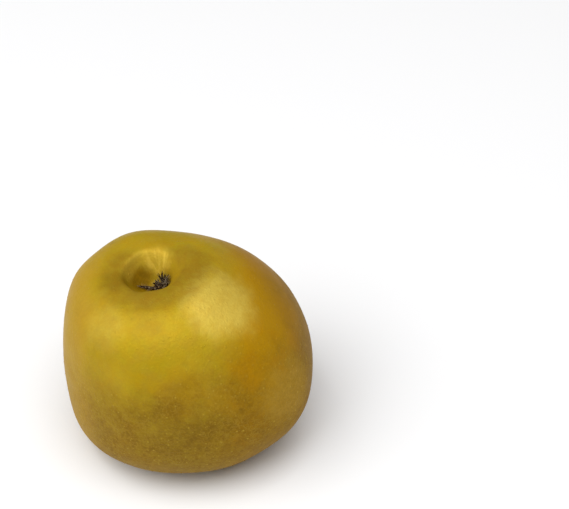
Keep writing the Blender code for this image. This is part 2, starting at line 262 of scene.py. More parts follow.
# Bands round the eye: by distance from it, then along X and Y
MOUTH_BAND = (0.0030, MOUTH_EDGE)
LIP_OUTSIDE = (0.0225, 0.0165)
LIP_INSIDE = (0.0100, 0.0135)
LIP_FRONT = (0.013, 0.007)
# Painted light on the left wall of the eye basin
LEFT_WALL_OUTSIDE = (0.0150, 0.0130)
LEFT_WALL_INSIDE = (0.0090, 0.0112)
LEFT_WALL_SIDE = (-0.0120, -0.0155)
LEFT_WALL_BACK = (-0.002, 0.004)

# How far slow drift and quicker stir move the edges of the bands and patches
LOW_DRIFT = 0.036
LOW_STIR = 0.016
SIDE_DRIFT = 0.016
FAR_RIGHT_DRIFT = 0.008
CAVITY_DRIFT = 0.006
LIP_STIR = 0.006
PATCH_STIR = 0.5

# Noise: size of a feature, seed, then detail and roughness where they differ from the usual.
# Each seed moves a noise by so much along X, Y and Z.
SEED_SHIFT = (7.31, 3.17, 5.73)
DRIFT = (0.018, 1)
STIR = (0.005, 13, 3.0)
PORES = (0.00045, 11, 2.0, 0.6)
THREADS = (0.0017, 15, 3.0, 0.65)
CORK_GRAIN = (0.0002, 12)
SEPAL_STREAKS = ((0.0010, 0.0010, 0.0018), 21, 3.0, 0.6)
SEPAL_GRAIN = (0.00025, 22)
DOWN_CHANGE = (0.0012, 23)
STAMEN_CHANGE = (0.0007, 31, 3.0, 0.6)
BARK_FIBRE = ((0.0005, 0.0005, 0.003), 41, 4.0, 0.6)
FLOOR_CHANGE = (0.4, 51)

# Patterns: size, seed, detail and roughness of the noise, and the levels that it rises between
GREEN_CAST = (0.021, 2, 3.0, 0.5, (0.42, 0.64))
AMBER_CAST = (0.012, 3, 3.0, 0.5, (0.48, 0.66))
RUSSET_FILM = (0.009, 4, 4.0, 0.6, (0.42, 0.68))
MOTTLE = (0.0026, 5, 3.0, 0.6, (0.36, 0.66))
GRAIN = (0.0008, 6, 2.0, 0.6, (0.35, 0.65))
NET_PATCHES = (0.010, 9, 2.0, 0.5, (0.50, 0.62))
WALL_STREAKS = (0.11, 14, 2.0, 0.5, (0.40, 0.66))
BARK_PATCHES = (0.0018, 42, 2.0, 0.5, (0.44, 0.62))

# Cells: their size and seed
FLECK_CELLS = (0.0017, 7)
NET_CELLS = (0.0016, 8)
SMUDGE_CELLS = (0.0105, 10)

# Levels that a mark rises between: by distance in its cell, by chance or by its noise
FLECK_WIDTH = (0.28, 0.08)
FLECK_CHANCE = (0.40, 0.60)
NET_WIDTH = (0.11, 0.02)
THREAD_WIDTH = (0.055, 0.005)
SMUDGE_HALO = (0.16, 0.03)
SMUDGE_CORE = (0.045, 0.025)
SMUDGE_CHANCE = (0.25, 0.35)
DUST_LEVELS = (0.53, 0.64)
STAMEN_LEVELS = (0.42, 0.62)
FIBRE_LEVELS = (0.35, 0.65)

# How strongly each tint is laid on: one share, or its shares at the two ends of a mask
GREEN_TINT = (0.70, 0.15)
AMBER_TINT = (0.25, 0.50)
RIGHT_TINT = 0.78
# Painted highlights on the right and left shoulders
RIGHT_HIGHLIGHT_TINT = 0.85
LEFT_HIGHLIGHT_TINT = 0.30
FILM_TINT = (0.30, 0.08)
LIP_TINT = (0.50, 0.75)
# Painted shade on the left lip and basin floor, painted light on the far and left walls
LEFT_LIP_SHADE_TINT = 0.32
FAR_WALL_LIGHT_TINT = (0.38, 0.80)
BASIN_SHADE_TINT = 0.88
LEFT_WALL_LIGHT_TINT = 0.28
# Painted shade on the far right edge
FAR_RIGHT_SHADE_TINT = 0.42
MOTTLE_TINT = 0.16
LOW_TINT = (0.66, 0.92)
# Painted sheen on the left rim
LEFT_SHEEN_TINT = 0.60
HEEL_TINT = (0.32, 0.62)
CAVITY_TINT = (0.40, 0.85)
GRAIN_TINT = (0.06, 0.20)
# Painted shade on the lower front
LOW_FRONT_SHADE_TINT = 0.26
FLECK_TINT = 0.05
LOW_FLECK_TINT = (0.38, 0.72)
NET_TINT = 0.10
THREAD_TINT = (0.16, 0.38)
HALO_TINT = 0.22
CORE_TINT = 0.55
MOUTH_TINT = 0.92
CORK_TINT = (0.03, 0.12)
DUST_TINT = 0.60
FIBRE_TINT = 0.5
BARK_PATCH_TINT = 0.4
FLOOR_TINT = 0.1

# Roughness: of the skin with what its masks add, and of the others at the ends of their noise
SKIN_ROUGHNESS = 0.44
SKIN_ROUGHENING = {"low": 0.10, "film": 0.07, "mouth": 0.30}
CORK_ROUGHNESS = (0.55, 0.70)
SEPAL_ROUGHNESS = (0.70, 0.90)
DOWN_ROUGHNESS = (0.75, 0.90)
STAMEN_ROUGHNESS = (0.65, 0.85)
BARK_ROUGHNESS = (0.70, 0.90)
FLOOR_ROUGHNESS = 0.6

# Bump: shares of what makes it up, and its height
PORE_RELIEF = 0.45
SKIN_RELIEF = {"grain": 0.35, "mottle": 0.25, "fleck": 0.8, "net": 0.6}
STREAK_RELIEF = 0.7
SEPAL_GRAIN_RELIEF = 0.4
SKIN_BUMP = 0.00008
CORK_BUMP = 0.00003
SEPAL_BUMP = 0.00008
DOWN_BUMP = 0.00002
STAMEN_BUMP = 0.00005
BARK_BUMP = 0.00010
FLOOR_BUMP = 0.00001

# Gloss of each finish, set on its shader
SKIN_GLOSS = {"Metallic": 0.17, "Specular IOR Level": 0.10, "Specular Tint": (1.0, 0.84, 0.50, 1)}
CORK_GLOSS = {"Specular IOR Level": 0.12}
SEPAL_GLOSS = {"Specular IOR Level": 0.08}
STAMEN_GLOSS = {"Specular IOR Level": 0.25}
BARK_GLOSS = {"Specular IOR Level": 0.3}
FLOOR_GLOSS = {"Specular IOR Level": 0.2}

# Colours, linear
GOLD = (0.435, 0.294, 0.013, 1)
GREEN_GOLD = (0.375, 0.266, 0.006, 1)
# Paler gold for the painted highlights on the shoulders
HIGHLIGHT_GOLD = (0.650, 0.475, 0.075, 1)
# Pale gold for painted light on the walls of the eye basin
PAINTED_LIGHT_GOLD = (0.700, 0.490, 0.060, 1)
AMBER = (0.465, 0.228, 0.001, 1)
TAN = (0.330, 0.200, 0.026, 1)
# Pale tan for painted sheen on the left rim and for the pale flecks of the right heel
SHEEN_AND_FLECK_TAN = (0.500, 0.300, 0.030, 1)
LIP_TAN = (0.236, 0.139, 0.010, 1)
# Dark brown for painted shade in the eye basin
PAINTED_SHADE_BROWN = (0.150, 0.078, 0.001, 1)
OLIVE_BROWN = (0.222, 0.116, 0.003, 1)
# Foxy brown for painted shade on the far right edge
SHADE_FOXY_BROWN = (0.270, 0.108, 0.001, 1)
DARK_RUSSET = (0.120, 0.065, 0.008, 1)
CORK = (0.52, 0.36, 0.04, 1)
STREAK_TAN = (0.460, 0.300, 0.040, 1)
WITHERED = (0.030, 0.014, 0.006, 1)
WITHERED_EDGE = (0.28, 0.215, 0.120, 1)
DOWN_GREY = (0.50, 0.41, 0.28, 1)
STAMEN_BROWN = (0.12, 0.070, 0.030, 1)
STAMEN_PALE = (0.33, 0.22, 0.10, 1)
BARK = (0.13, 0.075, 0.036, 1)
BARK_GREY = (0.25, 0.19, 0.12, 1)
FLOOR_WHITE = (0.90, 0.90, 0.905, 1)
FLOOR_GREY = (0.88, 0.88, 0.885, 1)
AIR_WHITE = (1, 1, 1, 1)


class Value:
    """What one socket gives, with Python's operators as Math nodes."""

    def __init__(self, graph, socket):
        self.graph = graph
        self.socket = socket

    def combined(self, operation, first, second):
        return self.graph.value("ShaderNodeMath", 0, {"operation": operation}, {0: first, 1: second})

    def __add__(self, other):
        return self.combined("ADD", self, other)

    def __sub__(self, other):
        return self.combined("SUBTRACT", self, other)

    def __rsub__(self, other):
        return self.combined("SUBTRACT", other, self)

    def __mul__(self, other):
        return self.combined("MULTIPLY", self, other)

    def __abs__(self):
        return self.graph.value("ShaderNodeMath", 0, {"operation": "ABSOLUTE"}, {0: self})

    __radd__ = __add__
    __rmul__ = __mul__


class Graph:
    """A shader or geometry node tree, with one method that adds any node."""

    def __init__(self, tree):
        self.tree = tree

    def node(self, kind, settings=None, sockets=None):
        made = self.tree.nodes.new(kind)
        for name, setting in (settings or {}).items():
            setattr(made, name, setting)
        for name, value in (sockets or {}).items():
            self.feed(made.inputs[name], value)
        return made

    def feed(self, socket, value):
        if isinstance(value, Value):
            self.tree.links.new(value.socket, socket)
        else:
            socket.default_value = value

    def value(self, kind, output, settings=None, sockets=None):
        return Value(self, self.node(kind, settings, sockets).outputs[output])

    def vector(self, operation, first, second=(0, 0, 0), third=(0, 0, 0), output="Vector"):
        return self.value("ShaderNodeVectorMath", output, {"operation": operation},
                          {0: first, 1: second, 2: third})

    def distance(self, place, point):
        return self.vector("DISTANCE", place, tuple(point), output="Value")

    def along(self, place, direction):
        """How far a place lies along a direction."""
        return self.vector("DOT_PRODUCT", place, tuple(direction), output="Value")

    def coordinate(self, place, axis):
        """One coordinate of a place, X being axis 0."""
        return self.value("ShaderNodeSeparateXYZ", axis, None, {0: place})

    def spoke(self, place, centre):
        """Direction from a centre to a place, for a pattern that radiates from the centre."""
        return self.vector("NORMALIZE", self.vector("SUBTRACT", place, tuple(centre)))

    def step(self, value, low, high):
        """Rises smoothly from 0 at low to 1 at high, or falls where low is above high."""
        return self.value("ShaderNodeMapRange", 0, {"interpolation_type": "SMOOTHSTEP"},
                          {"Value": value, "From Min": low, "From Max": high})

    def shifted(self, place, size, seed):
        """The place in units of a feature's size, moved to its own part of a pattern."""
        sizes = size if isinstance(size, tuple) else (size,) * 3
        return self.vector("MULTIPLY_ADD", place, tuple(1 / width for width in sizes),
                           tuple(seed * shift for shift in SEED_SHIFT))

    def cloud(self, place, size, seed, detail=2.0, roughness=0.5):
        """Soft noise with features of about the given size."""
        return self.value("ShaderNodeTexNoise", 0, {"noise_dimensions": "3D"},
                          {"Vector": self.shifted(place, size, seed), "Scale": 1.0,
                           "Detail": detail, "Roughness": roughness})

    def pattern(self, place, kind):
        """Patches from 0 to 1, cut out of noise between two levels."""
        *look, levels = kind
        return self.step(self.cloud(place, *look), *levels)

    def cell_noise(self, place, size, seed, feature):
        return self.node("ShaderNodeTexVoronoi", {"feature": feature, "voronoi_dimensions": "3D"},
                         {"Vector": self.shifted(place, size, seed), "Scale": 1.0})

    def cells(self, place, size, seed):
        """Distance from the middle of a cell of the given size, and a random level for the cell."""
        made = self.cell_noise(place, size, seed, "F1")
        level = self.value("ShaderNodeSeparateColor", "Red", None,
                           {"Color": Value(self, made.outputs["Color"])})
        return Value(self, made.outputs["Distance"]), level

    def cell_edges(self, place, size, seed):
        """Distance from the edges of cells of the given size."""
        made = self.cell_noise(place, size, seed, "DISTANCE_TO_EDGE")
        return Value(self, made.outputs["Distance"])

    def mixed(self, amount, low, high):
        """Colour between two, by an amount from 0 to 1."""
        return self.value("ShaderNodeMix", 2, {"data_type": "RGBA"}, {0: amount, 6: low, 7: high})


class Finish(Graph):
    """A material round one Principled shader, read from the piece's Object coordinates."""

    def __init__(self, name, constants):
        self.material = bpy.data.materials.new(name)
        self.material.use_nodes = True
        super().__init__(self.material.node_tree)
        self.shader = self.tree.nodes["Principled BSDF"]
        for socket, constant in constants.items():
            self.shader.inputs[socket].default_value = constant
        self.place = self.value("ShaderNodeTexCoord", "Object")

    def dress(self, colour, roughness, relief, height):
        """Feeds the shader its colour, its roughness and a relief in metres as bump."""
        normal = self.value("ShaderNodeBump", 0, None,
                            {"Height": relief, "Distance": height, "Strength": 1.0})
        self.feed(self.shader.inputs["Base Color"], colour)
        self.feed(self.shader.inputs["Roughness"], roughness)
        self.feed(self.shader.inputs["Normal"], normal)
        return self.material


class Growth(Graph):
    """A Geometry Nodes tree with named inputs, which ends in realized, finished geometry."""

    def __init__(self, name, inputs):
        super().__init__(bpy.data.node_groups.new(name, "GeometryNodeTree"))
        self.tree.interface.new_socket("Geometry", in_out="INPUT", socket_type="NodeSocketGeometry")
        self.tree.interface.new_socket("Geometry", in_out="OUTPUT", socket_type="NodeSocketGeometry")
        self.inputs = inputs
        self.identifiers = {}
        for title, amount in inputs.items():
            kind = "NodeSocketInt" if isinstance(amount, int) else "NodeSocketFloat"
            made = self.tree.interface.new_socket(title, in_out="INPUT", socket_type=kind)
            self.identifiers[title] = made.identifier
        self.entry = self.tree.nodes.new("NodeGroupInput")

    def given(self, title):
        return Value(self, self.entry.outputs[title])

    def position(self):
        return self.value("GeometryNodeInputPosition", 0)

    def shaped(self, kind, sockets):
        """A primitive, or a shape made from another."""
        return self.value(kind, 0, None, sockets)

    def drawn(self, low, high, seed):
        """A random number or vector for each point, between two limits."""
        if isinstance(low, tuple):
            return self.value("FunctionNodeRandomValue", 0, {"data_type": "FLOAT_VECTOR"},
                              {0: low, 1: high, "Seed": seed})
        return self.value("FunctionNodeRandomValue", 1, {"data_type": "FLOAT"},
                          {2: low, 3: high, "Seed": seed})

    def strewn(self, method, sockets):
        """Points strewn over the tree's own surface, and how each of them is turned."""
        made = self.node("GeometryNodeDistributePointsOnFaces", {"distribute_method": method},
                         {"Mesh": self.given("Geometry"), "Seed": self.given("Seed"), **sockets})
        return Value(self, made.outputs["Points"]), Value(self, made.outputs["Rotation"])

    def copied(self, shape, points, rotation, sizes):
        """A copy of a shape on each point."""
        return self.shaped("GeometryNodeInstanceOnPoints",
                           {"Points": points, "Instance": shape, "Rotation": rotation, "Scale": sizes})

    def joined(self, *shapes):
        made = self.node("GeometryNodeJoinGeometry")
        for shape in shapes:
            self.tree.links.new(shape.socket, made.inputs[0])
        return Value(self, made.outputs[0])

    def end(self, geometry, material):
        whole = self.shaped("GeometryNodeRealizeInstances", {"Geometry": geometry})
        dressed = self.shaped("GeometryNodeSetMaterial", {"Geometry": whole, "Material": material})
        leave = self.tree.nodes.new("NodeGroupOutput")
        self.tree.links.new(dressed.socket, leave.inputs[0])

    def apply(self, piece):
        """Runs the tree on a piece and keeps the result as its plain mesh."""
        modifier = piece.modifiers.new(self.tree.name, "NODES")
        modifier.node_group = self.tree
        for title, amount in self.inputs.items():
            modifier[self.identifiers[title]] = amount
        settle(piece)


def settle(piece):
    """Turns a piece with live modifiers into a plain mesh."""
    graph = bpy.context.evaluated_depsgraph_get()
    mesh = bpy.data.meshes.new_from_object(piece.evaluated_get(graph), depsgraph=graph)
    piece.modifiers.clear()
    piece.data = mesh
    mesh.name = piece.name


def linked(name, mesh):
    piece = bpy.data.objects.new(name, mesh)
    bpy.context.scene.collection.objects.link(piece)
    return piece


def from_form(name, form):
    """An object from mesh code, with its doubles merged and its faces pointing out."""
    bmesh.ops.remove_doubles(form, verts=form.verts, dist=MERGE)
    bmesh.ops.recalc_face_normals(form, faces=form.faces)
    mesh = bpy.data.meshes.new(name)
    form.to_mesh(mesh)
    form.free()
    mesh.shade_smooth()
    return linked(name, mesh)


def standing_for(piece, node):
    """Hangs a finished piece on the body, in place of its node."""
    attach(piece, BODY)
    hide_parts(node)


def between(ends, amount):
    """Goes from the first end to the second as an amount goes from 0 to 1."""
    first, second = ends
    return first + (second - first) * amount


def frame_at(place, outward):
    """Placement with Z out of the fruit and X as near +X as that allows."""
    normal = outward.normalized()
    side = Vector((1, 0, 0))
    side = (side - side.dot(normal) * normal).normalized()
    placed = Matrix((side, normal.cross(side), normal)).transposed().to_4x4()
    placed.translation = place
    return placed


def facing(angle):
    """Direction in the plane at an angle in radians from X."""
    return Vector((math.cos(angle), math.sin(angle), 0))


def lump(outward, waves, level):
    """Smooth random number from -1 to 1 that joins up with itself round a ring."""
    return noise.noise(Vector((outward.x * waves, outward.y * waves, level)))


def add_rings(form, rings, looped=False):
    """Skin through rings of points, which close a loop or get a face across each end."""
    rows = [[form.verts.new(point) for point in ring] for ring in rings]
    next_rows = rows[1:] + rows[:1] if looped else rows[1:]
    for row, following in zip(rows, next_rows):
        for here in range(len(row)):
            beside = (here + 1) % len(row)
            form.faces.new((row[here], row[beside], following[beside], following[here]))
    if not looped:
        form.faces.new(rows[0])
        form.faces.new(rows[-1])


def skin_masks(graph, place):
    """Where the skin is low or withered, and where highlights, light or shade are painted on it, each
    from 0 to 1.
    """
    height = graph.along(place, CORE)
    from_eye = graph.distance(place, EYE)
    from_hollow = graph.distance(place, HOLLOW)
    across = graph.coordinate(place, 0)
    depth = graph.coordinate(place, 1)
    drift = graph.cloud(place, *DRIFT) - 0.5
    stir = graph.cloud(place, *STIR) - 0.5

    def patch(spot):
        middle, reach = spot
        distance = graph.distance(place, middle)
        return graph.step(distance + stir * reach * PATCH_STIR, reach, reach * PATCH_FULL)

    from_lip = from_eye + stir * LIP_STIR
    lip = graph.step(from_lip, *LIP_OUTSIDE) * graph.step(from_lip, *LIP_INSIDE)
    # Painted light on the left wall of the eye basin
    left_wall = graph.step(from_eye, *LEFT_WALL_OUTSIDE) * graph.step(from_eye, *LEFT_WALL_INSIDE)
    left_wall = left_wall * graph.step(across, *LEFT_WALL_SIDE)
    return {
        "low": graph.step(height + drift * LOW_DRIFT + stir * LOW_STIR, *LOW_BAND),
        "right": graph.step(across + drift * SIDE_DRIFT, *RIGHT_BAND),
        # The left band carries painted sheen on the left rim
        "left": graph.step(across + drift * SIDE_DRIFT, *LEFT_BAND),
        # Painted shade on the far right edge
        "far_right_painted_shade": graph.step(graph.along(place, FAR_RIGHT) + drift * FAR_RIGHT_DRIFT, *FAR_RIGHT_BAND),
        "cavity": graph.step(from_hollow + drift * CAVITY_DRIFT, *CAVITY_BAND),
        "mouth": graph.step(from_eye, *MOUTH_BAND),
        "lip": lip * graph.step(depth, *LIP_FRONT),
        "left_wall": left_wall * graph.step(depth, *LEFT_WALL_BACK),
        # Painted highlight on the right shoulder
        "right_painted_highlight": patch(RIGHT_PAINTED_HIGHLIGHT),
        # Painted shade on the floor of the eye basin
        "shaded": patch(BASIN_PAINTED_SHADE),
        # Painted light on the far wall of the eye basin
        "wall": patch(FAR_WALL_PAINTED_LIGHT),
        # Painted shade on the left lip of the eye basin
        "left_lip_painted_shade": patch(LEFT_LIP_PAINTED_SHADE),
        "heel": patch(RIGHT_HEEL),
        # Painted highlight on the left shoulder
        "left_painted_highlight": patch(LEFT_PAINTED_HIGHLIGHT),
        # Painted shade on the lower front, over the russet
        "low_front_painted_shade": patch(LOW_FRONT_PAINTED_SHADE),
    }


def skin_marks(graph, place, low):
    """Small marks of the skin: cork flecks, a fine net, threads and dark smudges, from 0 to 1."""
    spot, chance = graph.cells(place, *FLECK_CELLS)
    net = graph.step(graph.cell_edges(place, *NET_CELLS), *NET_WIDTH)
    thread = abs(graph.cloud(place, *THREADS) - 0.5)
    speck, odds = graph.cells(place, *SMUDGE_CELLS)
    smudge = graph.step(speck, *SMUDGE_HALO) * HALO_TINT + graph.step(speck, *SMUDGE_CORE) * CORE_TINT
    return {
        "fleck": graph.step(spot, *FLECK_WIDTH) * graph.step(chance, *FLECK_CHANCE),
        "net": net * graph.pattern(place, NET_PATCHES) * low,
        "thread": graph.step(thread, *THREAD_WIDTH) * low,
        "smudge": smudge * graph.step(odds, *SMUDGE_CHANCE),
    }


def golden_ground(graph, place, masks):
    """Gold with green and amber casts, with paler gold painted on the shoulders as highlights, under a
    thin tan film.
    """
    low, right = masks["low"], masks["right"]
    green = graph.pattern(place, GREEN_CAST) * between(GREEN_TINT, low)
    amber = graph.pattern(place, AMBER_CAST) * between(AMBER_TINT, low) + right * RIGHT_TINT
    # Painted highlights on the right and left shoulders
    pale = masks["right_painted_highlight"] * RIGHT_HIGHLIGHT_TINT + masks["left_painted_highlight"] * LEFT_HIGHLIGHT_TINT
    colour = graph.mixed(green, GOLD, GREEN_GOLD)
    colour = graph.mixed(amber, colour, AMBER)
    colour = graph.mixed(pale, colour, HIGHLIGHT_GOLD)
    return graph.mixed(masks["film"] * between(FILM_TINT, right), colour, TAN)


def with_basin(graph, place, masks, colour):
    """Lays on the tan lip of the eye basin, painted light in streaks on its far wall and on its left
    wall, and painted shade on its floor and its left lip.
    """
    streaks = graph.pattern(graph.spoke(place, EYE), WALL_STREAKS)
    colour = graph.mixed(masks["lip"] * between(LIP_TINT, masks["mottle"]), colour, LIP_TAN)
    # Painted shade on the left lip
    colour = graph.mixed(masks["left_lip_painted_shade"] * LEFT_LIP_SHADE_TINT, colour, PAINTED_SHADE_BROWN)
    # Painted light on the far wall, broken into streaks
    colour = graph.mixed(masks["wall"] * between(FAR_WALL_LIGHT_TINT, streaks), colour, PAINTED_LIGHT_GOLD)
    # Painted shade on the basin floor
    colour = graph.mixed(masks["shaded"] * BASIN_SHADE_TINT, colour, PAINTED_SHADE_BROWN)
    # Painted light on the left wall
    return graph.mixed(masks["left_wall"] * LEFT_WALL_LIGHT_TINT, colour, PAINTED_LIGHT_GOLD)


def with_russet(graph, masks, colour):
    """Lays on the browns: painted shade in foxy brown on the far right edge, russet on the lower half,
    painted sheen on the left rim with pale flecks on the right heel, tan in the stalk's hollow, and a
    darker grain with painted shade on the lower front.
    """
    low, mottle = masks["low"], masks["mottle"]
    # Painted sheen on the left rim, and pale flecks on the right heel
    rim = masks["left"] * LEFT_SHEEN_TINT + masks["heel"] * between(HEEL_TINT, mottle)
    # Darker grain, with painted shade on the lower front
    dark = masks["grain"] * between(GRAIN_TINT, low) + masks["low_front_painted_shade"] * low * LOW_FRONT_SHADE_TINT
    # Painted shade on the far right edge
    colour = graph.mixed(masks["far_right_painted_shade"] * FAR_RIGHT_SHADE_TINT, colour, SHADE_FOXY_BROWN)
    colour = graph.mixed(mottle * MOTTLE_TINT, colour, AMBER)
    colour = graph.mixed(low * between(LOW_TINT, mottle), colour, OLIVE_BROWN)
    colour = graph.mixed(rim, colour, SHEEN_AND_FLECK_TAN)
    colour = graph.mixed(masks["cavity"] * between(CAVITY_TINT, masks["film"]), colour, TAN)
    return graph.mixed(dark, colour, DARK_RUSSET)


def with_marks(graph, masks, colour):
    """Lays on the small marks, then the withered brown round the mouth of the eye."""
    film = masks["film"]
    fleck = masks["fleck"] * (FLECK_TINT + between(LOW_FLECK_TINT, film) * masks["low"])
    colour = graph.mixed(fleck, colour, CORK)
    colour = graph.mixed(masks["net"] * NET_TINT, colour, CORK)
    colour = graph.mixed(masks["thread"] * between(THREAD_TINT, film), colour, STREAK_TAN)
    colour = graph.mixed(masks["smudge"], colour, DARK_RUSSET)
    return graph.mixed(masks["mouth"] * MOUTH_TINT, colour, WITHERED)


def skin_colour(graph, place):
    """Colour of the skin at a place, and the masks that its roughness and relief share."""
    masks = skin_masks(graph, place)
    masks["film"] = graph.pattern(place, RUSSET_FILM)
    masks["mottle"] = graph.pattern(place, MOTTLE)
    masks["grain"] = graph.pattern(place, GRAIN)
    masks.update(skin_marks(graph, place, masks["low"]))
    colour = golden_ground(graph, place, masks)
    colour = with_basin(graph, place, masks, colour)
    colour = with_russet(graph, masks, colour)
    return with_marks(graph, masks, colour), masks


def skin_finish():
    """Satin russet skin: golden above, browner and flecked towards the stalk."""
    finish = Finish("russet_skin", SKIN_GLOSS)
    colour, masks = skin_colour(finish, finish.place)
    roughness = SKIN_ROUGHNESS
    for name, share in SKIN_ROUGHENING.items():
        roughness = masks[name] * share + roughness
    relief = finish.cloud(finish.place, *PORES) * PORE_RELIEF
    for name, share in SKIN_RELIEF.items():
        relief = relief + masks[name] * share
    return finish.dress(colour, roughness, relief, SKIN_BUMP)


def lenticel_finish():
    """Cork of the lenticels, tinted by the skin round them."""
    finish = Finish("lenticel_cork", CORK_GLOSS)
    colour, masks = skin_colour(finish, finish.place)
    colour = finish.mixed(between(CORK_TINT, masks["low"]), colour, CORK)
    roughness = between(CORK_ROUGHNESS, masks["grain"])
    return finish.dress(colour, roughness, finish.cloud(finish.place, *CORK_GRAIN), CORK_BUMP)


def smooth_fruit():
    """The fruit's solid again, with its triangles joined and subdivided."""
    form = bmesh.new()
    form.from_mesh(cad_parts["fruit"].data)
    bmesh.ops.remove_doubles(form, verts=form.verts, dist=MERGE)
    bmesh.ops.join_triangles(form, faces=form.faces, angle_face_threshold=math.radians(JOINED_ANGLE),
                             angle_shape_threshold=math.radians(JOINED_SHAPE))
    fruit = from_form("skin", form)
    smooth = fruit.modifiers.new("smooth", "SUBSURF")
    smooth.levels = SKIN_LEVELS
    smooth.render_levels = SKIN_LEVELS
    return fruit


def swell_of_skin(growth, place, from_eye):
    """How far the skin is moved outwards: slow swellings, and puckers round the eye."""
    slow = growth.value("ShaderNodeTexNoise", 0, None,
                        {"Vector": growth.vector("DIVIDE", place, growth.given("Swelling size")),
                         "Scale": 1.0, "Detail": 2.0})
    puckers = growth.value("ShaderNodeTexNoise", 0, None,
                           {"Vector": growth.spoke(place, EYE), "Scale": PUCKERS_ROUND, "Detail": 1.0})
    near = growth.step(from_eye, growth.given("Pucker reach"), KEEP_CLEAR)
    swell = (slow - 0.5) * growth.given("Swelling") + (puckers - 0.5) * near * growth.given("Pucker")
    swell = swell * growth.step(growth.coordinate(place, 2), *TABLE_CLEAR)
    return swell * growth.step(from_eye, MOUTH_EDGE, KEEP_CLEAR)


def make_skin():
    """Skin of the fruit, with slow swellings, puckers round the eye and an eased basin rim."""
    skin = smooth_fruit()
    growth = Growth("skin_relief", {"Swelling": SWELLING, "Swelling size": SWELLING_SIZE,
                                    "Pucker": PUCKER, "Pucker reach": PUCKER_REACH,
                                    "Rim easing": RIM_EASING})
    place = growth.position()
    from_eye = growth.distance(place, EYE)
    normal = growth.value("GeometryNodeInputNormal", 0)
    relief = growth.vector("MULTIPLY", normal, swell_of_skin(growth, place, from_eye))
    eased = growth.value("GeometryNodeBlurAttribute", 0, {"data_type": "FLOAT_VECTOR"},
                         {0: place, "Iterations": growth.given("Rim easing")})
    rim = growth.step(from_eye, *RIM_INSIDE) * growth.step(from_eye, *RIM_OUTSIDE)
    easing = growth.vector("MULTIPLY", growth.vector("SUBTRACT", eased, place), rim)
    moved = growth.shaped("GeometryNodeSetPosition",
                          {"Geometry": growth.given("Geometry"),
                           "Offset": growth.vector("ADD", relief, easing)})
    growth.end(moved, skin_finish())
    growth.apply(skin)
    standing_for(skin, "fruit")
    return skin


def make_lenticels(skin):
    """Low corky domes strewn over the skin, closer together towards the stalk."""
    lenticels = linked("lenticels", skin.data)
    growth = Growth("lenticel_scatter", {"Radius": LENTICEL_RADIUS, "Spacing": LENTICEL_SPACING,
                                         "Density": float(LENTICEL_DENSITY), "Seed": LENTICEL_SEED})
    place = growth.position()
    share = between(LENTICEL_SHARE, growth.step(growth.along(place, CORE), *LENTICEL_HEIGHTS))
    share = share * growth.step(growth.distance(place, EYE), *LENTICEL_EYE_CLEAR)
    share = share * growth.step(growth.coordinate(place, 2), *LENTICEL_TABLE_CLEAR)
    points, rotation = growth.strewn("POISSON", {"Distance Min": growth.given("Spacing"),
                                                 "Density Max": growth.given("Density"),
                                                 "Density Factor": share})
    dome = growth.shaped("GeometryNodeMeshUVSphere",
                         {"Segments": LENTICEL_SEGMENTS, "Rings": LENTICEL_RINGS,
                          "Radius": growth.given("Radius")})
    flat = growth.shaped("GeometryNodeTransform",
                         {"Geometry": dome, "Scale": (1.0, 1.0, LENTICEL_FLATNESS)})
    sizes = growth.drawn(*LENTICEL_SIZES, LENTICEL_SIZE_SEED)
    dots = growth.copied(flat, points, rotation, sizes)
    growth.end(dots, lenticel_finish())
    growth.apply(lenticels)
    lenticels.data.shade_smooth()
    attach(lenticels, BODY)


def curve_point(start, pull_out, pull_in, end, amount):
    """Point of a cubic curve at an amount from 0 to 1."""
    rest = 1 - amount
    return (rest**3 * start + 3 * rest**2 * amount * pull_out
            + 3 * rest * amount**2 * pull_in + amount**3 * end)


def sepal_place(sepal, amount):
    """Point of a sepal's centre line at an amount from 0 to 1, in the eye's frame."""
    direction, pull_out, pull_in, tip, sway, _ = sepal
    knots = [Vector(knot) for knot in ((RING_RADIUS, RING_HEIGHT), pull_out, pull_in, tip)]
    radius, height = curve_point(*knots, amount)
    turn = math.radians(direction)
    sideways = facing(turn + math.pi / 2)
    return facing(turn) * radius + Vector((0, 0, height)) + sideways * sway * amount**2


def sepal_heading(sepal, amount):
    """Direction of a sepal's centre line at an amount from 0 to 1."""
    ahead = sepal_place(sepal, min(amount + HEADING_STEP, 1.0))
    behind = sepal_place(sepal, max(amount - HEADING_STEP, 0.0))
    return (ahead - behind).normalized()


def sliver_section(middle, across, face, half, amount, seed):
    """Points round a sliver: its top side one way, then its underside back."""
    cup_depth, cup_waves = CUP
    crinkle_depth, crinkles_along, crinkles_across = CRINKLES
    ragged_depth, ragged_along, ragged_across = RAGGED
    cup = cup_depth * half * (1 + noise.noise(Vector((seed, 5, amount * cup_waves))))
    top, under = [], []
    for column in range(SEPAL_ACROSS):
        share = 2 * column / (SEPAL_ACROSS - 1) - 1
        crinkle = noise.noise(Vector((seed + share * crinkles_across, amount * crinkles_along, 3)))
        ragged = noise.noise(Vector((seed, amount * ragged_along, share * ragged_across)))
        rise = cup * (1 - share**2) + crinkle_depth * crinkle
        spot = middle + across * (half * share + ragged_depth * ragged * abs(share)) + face * rise
        thick = SEPAL_THICKNESS / 2 * (1 - EDGE_THINNING * share**2) * (1 - TIP_THINNING * amount)
        top.append(spot + face * thick)
        under.append(spot - face * thick)
    return top + under[::-1]


